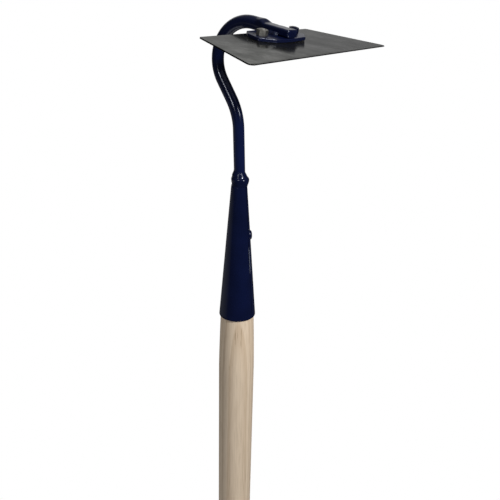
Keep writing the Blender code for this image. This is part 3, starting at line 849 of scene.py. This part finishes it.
def tongue_rings(axis_height):
    """Rings from the round rod to the squared tongue, slightly uneven from the hammer."""
    rings = []
    for along, rounded in tongue_places():
        under = ease(FORGING_START, UNDERSIDE_FORGED_BY, along)
        over = ease(TOP_FORGED_FROM, TOP_FORGED_BY, along)
        widened = ease(FORGING_START, TOP_FORGED_BY, along)
        drawn_in = rounded * TIP_ROUNDING
        low = blend(axis_height - ARCH_ROD_RADIUS, ON_PLATE, under)
        high = blend(axis_height + ARCH_ROD_RADIUS, TONGUE_TOP, over) - drawn_in
        half_width = blend(ARCH_ROD_RADIUS, TONGUE_HALF_WIDTH, widened) - drawn_in
        power = blend(ROUND_POWER, TONGUE_POWER, widened)
        ring = []
        for i in range(NECK_SIDES):
            across, up = squared(i / NECK_SIDES, power)
            height = (low + high) / 2 + up * (high - low) / 2
            spot = Vector((along, across * half_width, height))
            hammer_wear_and_seam_highlight = HAMMER_DEPTH * widened * (noise.noise(spot * HAMMER_SCALE) - 0.5)
            spot.y -= hammer_wear_and_seam_highlight * across
            spot.z += hammer_wear_and_seam_highlight * max(0.0, up)
            ring.append(BLADE_FRAME @ spot)
        rings.append(ring)
    return rings


def neck():
    """The bent rod and its forged tongue in one body."""
    line = neck_path()
    axis_height = (BLADE_FRAME.inverted() @ line[-1][0]).z
    bm = bmesh.new()
    skin(bm, rod_rings(line) + tongue_rings(axis_height))
    place("swan_neck", bm, neck_enamel, "neck")


def socket_weld_point(angle, share):
    """The bead's radius and height at an angle, for a share of the way up its outside."""
    side = math.cos(angle - SOCKET_WELD_TALL_SIDE)
    top = SOCKET_WELD_HEIGHT + SOCKET_WELD_HEIGHT_SWING * side
    widest_at = SOCKET_WELD_WIDEST_AT + SOCKET_WELD_WIDEST_SWING * side
    widest = SOCKET_WELD_RADIUS - SOCKET_WELD_RADIUS_SWING * side
    height = blend(-WELD_FOOT, top, share)
    if height < widest_at:
        swell = math.sin(0.5 * math.pi * max(0.0, height) / widest_at)
        radius = blend(SOCKET_WELD_FOOT_RADIUS, widest, swell)
    else:
        fall = max(0.0, math.cos(0.5 * math.pi * (height - widest_at) / (top - widest_at)))
        radius = blend(ROD_RADIUS + WELD_TOP_OVER_ROD, widest, fall ** SOCKET_WELD_FALL)
    off_groove = (height - WELD_GROOVE_HEIGHT) / WELD_GROOVE_SIZE
    radius -= WELD_GROOVE_DEPTH * math.exp(-off_groove * off_groove)
    for degrees, lump_height in WELD_LUMPS:
        turn = math.remainder(angle - math.radians(degrees), 2 * math.pi)
        away = math.hypot(turn * radius, height - lump_height) / WELD_LUMP_SIZE
        radius += WELD_LUMP_RISE * math.exp(-away * away)
    return radius, height


def socket_weld():
    """The lumpy bead round the rod, leaning with it."""
    inner = ROD_RADIUS - WELD_BORE_INSIDE_ROD
    loops = []
    for k in range(WELD_SIDES):
        angle = 2 * math.pi * k / WELD_SIDES
        section = [socket_weld_point(angle, i / WELD_LEVELS) for i in range(WELD_LEVELS + 1)]
        section += [(inner, section[-1][1]), (inner, section[0][1])]
        loop = []
        for radius, height in section:
            x = radius * math.cos(angle) + NECK_FORWARD - height * math.tan(NECK_LEAN)
            loop.append((x, radius * math.sin(angle), SOCKET_TOP_Z + height))
        loops.append(loop)
    place("socket_weld_bead", wrap(loops), weld_enamel, "socket_weld")


def rounded_outline(corners, radii):
    """A closed outline with each corner replaced by an arc that touches both its sides."""
    points = []
    count = len(corners)
    for i in range(count):
        here = Vector(corners[i])
        before = (Vector(corners[i - 1]) - here).normalized()
        after = (Vector(corners[(i + 1) % count]) - here).normalized()
        half = before.angle(after) / 2
        radius = radii[i]
        centre = here + (before + after).normalized() * radius / math.sin(half)
        start = here + before * radius / math.tan(half)
        end = here + after * radius / math.tan(half)
        first = start - centre
        sweep = first.angle_signed(end - centre)
        for k in range(CORNER_STEPS + 1):
            turn = Matrix.Rotation(-sweep * k / CORNER_STEPS, 2)
            points.append(centre + turn @ first)
    return points


def blade():
    """The flat trapezium, thinned from below at its cutting edge."""
    rear, edge = BLADE_REAR_WIDTH / 2, BLADE_EDGE_WIDTH / 2 - PAINT_INSIDE
    corners = [(0, -rear), (BLADE_DEPTH, -edge), (BLADE_DEPTH, edge), (0, rear)]
    radii = [BLADE_REAR_CORNER, BLADE_EDGE_CORNER, BLADE_EDGE_CORNER, BLADE_REAR_CORNER]
    bm = slab(rounded_outline(corners, radii), -BLADE_THICKNESS, 0)
    line = BLADE_DEPTH - GROUND_EDGE_DEPTH
    everything = bm.verts[:] + bm.edges[:] + bm.faces[:]
    bmesh.ops.bisect_plane(bm, geom=everything, plane_co=(line, 0, 0), plane_no=(1, 0, 0))
    loss = (BLADE_THICKNESS - GROUND_EDGE_THICKNESS) / GROUND_EDGE_DEPTH
    for vert in bm.verts:
        if vert.co.z < -BLADE_THICKNESS / 2 and vert.co.x > line:
            vert.co.z += (vert.co.x - line) * loss
    soften(bm, BLADE_ROUNDING)
    bm.transform(BLADE_FRAME)
    place("hoe_blade", bm, steel, "blade", smooth_up_to=30)


def mounting_plate():
    """The plate with its cut corners, its bowed front and its edges rounded by the paint."""
    rear, front = PLATE_SETBACK, PLATE_SETBACK + PLATE_DEPTH
    half = [
        (rear, PLATE_REAR_WIDTH / 2),
        (rear + PLATE_SHOULDER_DEPTH, PLATE_SHOULDER_WIDTH / 2),
        (front - PLATE_FRONT_CUT_DEPTH, PLATE_WIDTH / 2),
        (front - PLATE_BOW, PLATE_FRONT_WIDTH / 2),
    ]
    corners = [(x, -y) for x, y in half] + [(front, 0)] + half[::-1]
    radii = [PLATE_CORNER] * len(corners)
    radii[len(half)] = PLATE_BOW_RADIUS
    bm = slab(rounded_outline(corners, radii), HAIRLINE, PLATE_TOP)
    soften(bm, PLATE_ROUNDING, segments=4)
    bm.transform(BLADE_FRAME)
    place("painted_plate", bm, plate_enamel, "mounting_plate")


def blade_bolt(side, across):
    """The bolt, its low domed head under the blade and its threaded end in the nut."""
    under = -BLADE_THICKNESS - HAIRLINE
    end = NUT_TOP + BOLT_END_PROUD
    dome = BOLT_HEAD_HEIGHT - BOLT_RIM
    profile = []
    for i in range(1, BOLT_HEAD_STEPS + 1):
        angle = 0.5 * math.pi * i / BOLT_HEAD_STEPS
        height = under - BOLT_RIM - dome * math.cos(angle)
        profile.append((BOLT_HEAD_RADIUS * math.sin(angle), height))
    profile += [(BOLT_HEAD_RADIUS, under), (BOLT_RADIUS, under)]
    for k in range(THREAD_TURNS):
        crest = end - THREAD_END_CHAMFER - THREAD_PITCH * (THREAD_TURNS - 1 - k)
        profile.append((BOLT_RADIUS - THREAD_DEPTH, crest - THREAD_PITCH / 2))
        profile.append((BOLT_RADIUS, crest))
    profile.append((BOLT_RADIUS - THREAD_END_CHAMFER, end))
    bm = turned(profile, BOLT_SIDES)
    bm.transform(BLADE_FRAME @ Matrix.Translation((BOLT_PLACE, across, 0)))
    finish = zinc if side == "near" else enamel
    place("bolt_" + side, bm, finish, "blade_bolt_" + side, smooth_up_to=25)


def blade_nut(side, across):
    """The hexagon nut, chamfered at both faces and at the top of its bore."""
    low, high = PLATE_TOP + HAIRLINE, NUT_TOP
    flat = NUT_ACROSS_FLATS / 2
    face = NUT_FACE_SHARE * flat
    bore = BOLT_RADIUS + NUT_BORE_GAP
    loops = []
    for k in range(NUT_SIDES):
        angle = 2 * math.pi * k / NUT_SIDES
        from_flat = math.remainder(angle - math.pi / 6, math.pi / 3)
        wall = min(flat / math.cos(from_flat), flat * NUT_CORNER_SHARE)
        fall = (wall - face) * math.tan(NUT_CHAMFER)
        section = [(bore, low), (face, low), (wall, low + fall), (wall, high - fall)]
        section += [(face, high), (bore + NUT_BORE_CHAMFER, high), (bore, high - NUT_BORE_CHAMFER)]
        loops.append([(r * math.cos(angle), r * math.sin(angle), z) for r, z in section])
    bm = wrap(loops)
    seat = BLADE_FRAME @ Matrix.Translation((BOLT_PLACE, across, 0))
    bm.transform(seat @ Matrix.Rotation(NUT_TURNS[side], 4, "Z"))
    finish = zinc if side == "near" else enamel
    place("nut_" + side, bm, finish, "blade_nut_" + side, smooth_up_to=22)


def tongue_weld(side, sign):
    """A hand laid bead, its ripples bowed towards the end where it was finished."""
    wall = TONGUE_HALF_WIDTH - BEAD_IN_TONGUE
    rings = []
    for k in range(BEAD_STEPS + 1):
        share = k / BEAD_STEPS
        along = blend(TONGUE_WELD_FROM, TONGUE_WELD_TO, share)
        from_end = min(along - TONGUE_WELD_FROM, TONGUE_WELD_TO - along)
        leg = TONGUE_WELD_LEG * blend(BEAD_END_SHARE, 1.0, ease(0, BEAD_TAPER, from_end))
        wave = (BEAD_RIPPLES * share) % 1.0
        leg += BEAD_RIPPLE_DEPTH * (1 - 2 * wave) * ease(0, BEAD_RIPPLE_EDGE, wave)
        uneven = noise.noise(Vector((share * BEAD_UNEVENNESS_SCALE, sign, 0)))
        leg *= 1 + BEAD_UNEVENNESS * uneven
        ring = [(along, sign * wall, PLATE_TOP)]
        for i in range(BEAD_ARC_STEPS + 1):
            turn = 0.5 * math.pi * i / BEAD_ARC_STEPS
            out = wall + BEAD_FOOT + leg * math.cos(turn) ** BEAD_POWER
            height = PLATE_TOP + leg * math.sin(turn) ** BEAD_POWER
            ring.append((along + BEAD_BOW * math.sin(2 * turn), sign * out, height))
        rings.append(ring)
    bm = bmesh.new()
    skin(bm, rings)
    bm.transform(BLADE_FRAME)
    node = "tongue_weld_" + side
    place("bead_" + side, bm, weld_enamel, node, smooth_up_to=60)


def photo_camera():
    """The camera of the photograph, as it was fitted to points measured in it."""
    data = bpy.data.cameras.new("camera")
    data.lens = CAMERA_LENS
    data.sensor_width = CAMERA_SENSOR
    data.clip_start = CAMERA_NEAREST
    camera = bpy.data.objects.new("camera", data)
    camera.location = CAMERA_PLACE
    camera.rotation_euler = [math.radians(degrees) for degrees in CAMERA_TURN]
    bpy.context.scene.collection.objects.link(camera)
    bpy.context.scene.camera = camera


def pale_floor():
    """A matt floor that fades to white away from the handle, but lights the hoe as grey."""
    bm = bmesh.new()
    bmesh.ops.create_circle(bm, cap_ends=True, segments=FLOOR_SIDES, radius=FLOOR_RADIUS)
    mesh = bpy.data.meshes.new("floor")
    bm.to_mesh(mesh)
    bm.free()
    ground = bpy.data.objects.new("floor", mesh)
    ground.location.z = -FLOOR_DROP
    bpy.context.scene.collection.objects.link(ground)
    material = bpy.data.materials.new("floor")
    material.use_nodes = True
    mesh.materials.append(material)
    n = Nodes(material.node_tree)
    n.tree.nodes.clear()
    away = n.length(n.node("TexCoord").outputs["Object"])
    not_diffuse = n.math("SUBTRACT", 1.0, n.node("LightPath").outputs["Is Diffuse Ray"])
    whiteness = n.product(n.eased(away, *FLOOR_FADE), not_diffuse)
    matt = n.node("BsdfDiffuse", {"Color": FLOOR_COLOUR}).outputs[0]
    white = n.node("Emission", {"Color": WHITE}).outputs[0]
    n.node("OutputMaterial", {"Surface": n.mix_shaders(whiteness, matt, white)})


def studio():
    """White to look at, soft light from the left for matt faces, and a wall to mirror."""
    world = bpy.data.worlds.new("studio")
    bpy.context.scene.world = world
    world.use_nodes = True
    n = Nodes(world.node_tree)
    n.tree.nodes.clear()
    direction = n.node("TexCoord").outputs["Generated"]
    upward = n.dot(direction, UP)

    def light(strength):
        return n.node("Background", {"Color": WHITE, "Strength": strength}).outputs[0]

    soft = n.spread(n.dot(direction, SOFT_LIGHT_SIDE), *SOFT_LIGHT)

    # Wall behind the hoe, brightest at the horizon, grey above it and dim towards the floor
    ahead = n.eased(n.dot(direction, WALL_SIDE), *WALL_SPREAD)
    not_left = n.eased(n.dot(direction, WALL_RIGHT), *WALL_LEFT_END)
    over_floor = n.eased(upward, *WALL_FOOT)
    high = n.math("ADD", n.eased(upward, *WALL_HORIZON), n.spread(upward, *WALL_TOP))
    wall = n.product(ahead, not_left, over_floor, high)

    # Band low on the left, which the socket mirrors, and a dim ceiling
    leftward = n.eased(n.dot(direction, LOW_BAND_SIDE), *LOW_BAND)
    low = n.product(n.eased(upward, *LOW_BAND_FOOT), n.eased(upward, *LOW_BAND_TOP))
    mirrored = n.math("MAXIMUM", wall, n.product(leftward, low))
    mirrored = n.math("MAXIMUM", mirrored, n.eased(upward, *CEILING))

    path = n.node("LightPath").outputs
    lit = n.mix_shaders(path["Is Glossy Ray"], light(soft), light(mirrored))
    seen = n.math("MAXIMUM", path["Is Camera Ray"], path["Is Transmission Ray"])
    n.node("OutputWorld", {"Surface": n.mix_shaders(seen, lit, light(1.0))})


def lamp(name, azimuth, elevation, size, power):
    """A soft lamp aimed at the hoe's head, from a direction in degrees."""
    data = bpy.data.lights.new(name, "AREA")
    data.shape = "RECTANGLE"
    data.size, data.size_y = size
    data.energy = power
    thing = bpy.data.objects.new(name, data)
    turn, rise = math.radians(azimuth), math.radians(elevation)
    level = math.cos(rise)
    away = Vector((math.cos(turn) * level, math.sin(turn) * level, math.sin(rise)))
    thing.location = Vector(LAMP_TARGET) + LAMP_DISTANCE * away
    thing.rotation_euler = away.to_track_quat("Z", "Y").to_euler()
    bpy.context.scene.collection.objects.link(thing)


handle()
socket()
socket_rivet()
neck()
socket_weld()
mounting_plate()
blade()
for side, sign in (("near", -1), ("far", 1)):
    blade_bolt(side, sign * BOLT_SPREAD)
    blade_nut(side, sign * BOLT_SPREAD)
    tongue_weld(side, sign)

photo_camera()
pale_floor()
studio()
for name, settings in LAMPS.items():
    lamp(name, *settings)
bpy.context.scene.view_settings.view_transform = "Standard"
